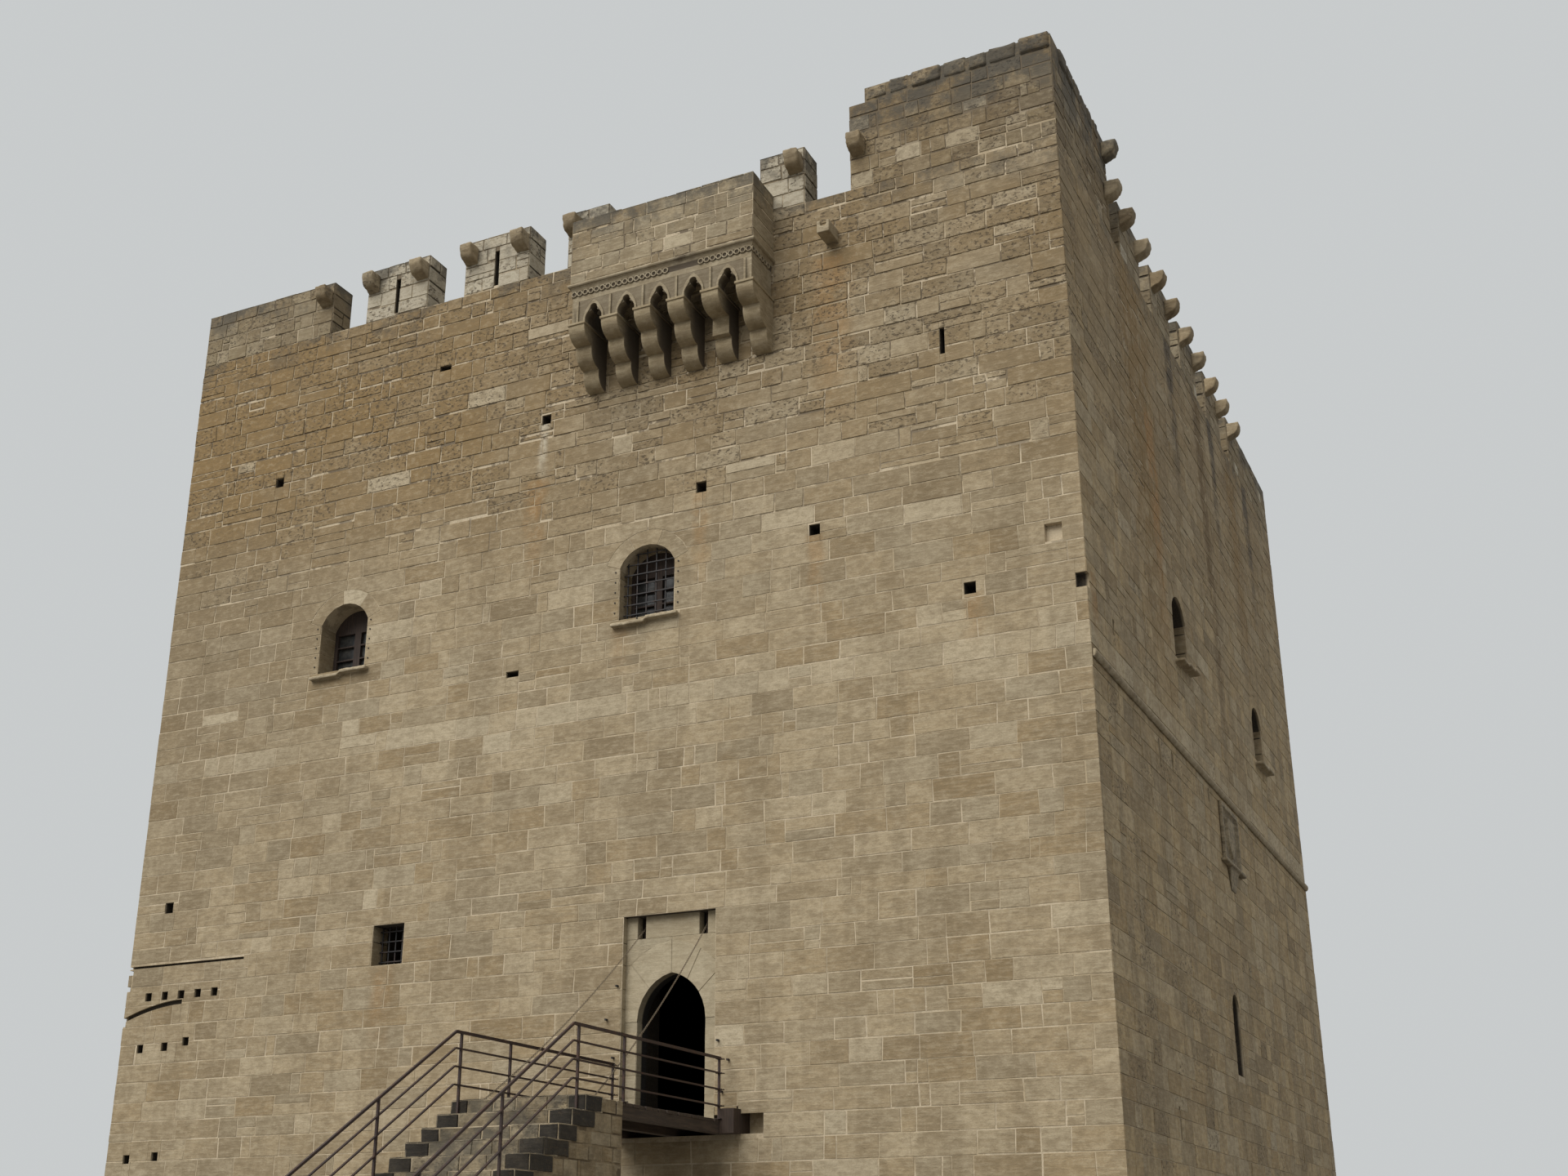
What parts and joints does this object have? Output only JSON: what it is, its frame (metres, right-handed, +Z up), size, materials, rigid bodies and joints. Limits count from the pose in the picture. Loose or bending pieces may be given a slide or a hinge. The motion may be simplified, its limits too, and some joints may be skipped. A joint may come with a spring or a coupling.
{
  "type": "castle keep",
  "caption": "Square stone castle keep with a battlemented parapet, a corner stair turret, a machicolation over a raised pointed door, and a masonry stair with a timber bridge.",
  "frame": {"origin": "centre of the square plan, on the ground under the ground floor", "axes": "+X east, to the right of the front; +Y north, from the door into the building; +Z up"},
  "size_m": [19.1, 29.035, 21.93],
  "materials": {
    "wall_stone": "matte",
    "floor_stone": "matte",
    "parapet_stone": "matte",
    "carved_stone": "matte",
    "machicolation_stone": "matte",
    "door_stone": "matte",
    "stair_stone": "matte",
    "old_timber": "matte",
    "casement_timber": "matte",
    "window_glass": "matte",
    "rail_iron": "matte",
    "chain_iron": "matte"
  },
  "bodies": {
    "root": {"armorial_panel": "carved_stone", "back_parapet": "parapet_stone", "back_wall_lower": "wall_stone", "back_wall_upper": "wall_stone", "bridge_beams": "old_timber", "bridge_chains": "chain_iron", "bridge_deck": "old_timber", "bridge_handrails": "rail_iron", "bridge_post_stub": "old_timber", "corner_merlons": "parapet_stone", "door_lintel": "door_stone", "door_surround": "door_stone", "door_threshold": "door_stone", "east_wall_lower": "wall_stone", "east_wall_upper": "wall_stone", "first_floor": "floor_stone", "front_parapet": "parapet_stone", "front_wall_below_door": "wall_stone", "front_wall_left": "wall_stone", "front_wall_middle": "wall_stone", "front_wall_right": "wall_stone", "front_wall_upper": "wall_stone", "ground_floor": "floor_stone", "lifting_arm_stubs": "old_timber", "machicolation_arches": "machicolation_stone", "machicolation_corbels": "machicolation_stone", "machicolation_cornice": "machicolation_stone", "machicolation_parapet": "machicolation_stone", "merlon_corbels": "carved_stone", "merlons": "parapet_stone", "roof_terrace": "floor_stone", "second_floor": "floor_stone", "side_parapets": "parapet_stone", "stair_core": "stair_stone", "stair_handrails": "rail_iron", "stair_steps": "stair_stone", "stair_turret": "parapet_stone", "string_course": "carved_stone", "turret_roof": "parapet_stone", "water_spout": "carved_stone", "west_wall_lower": "wall_stone", "west_wall_upper": "wall_stone", "window_casements": "casement_timber", "window_glass": "window_glass", "window_sills": "carved_stone"}
  },
  "joints": []
}
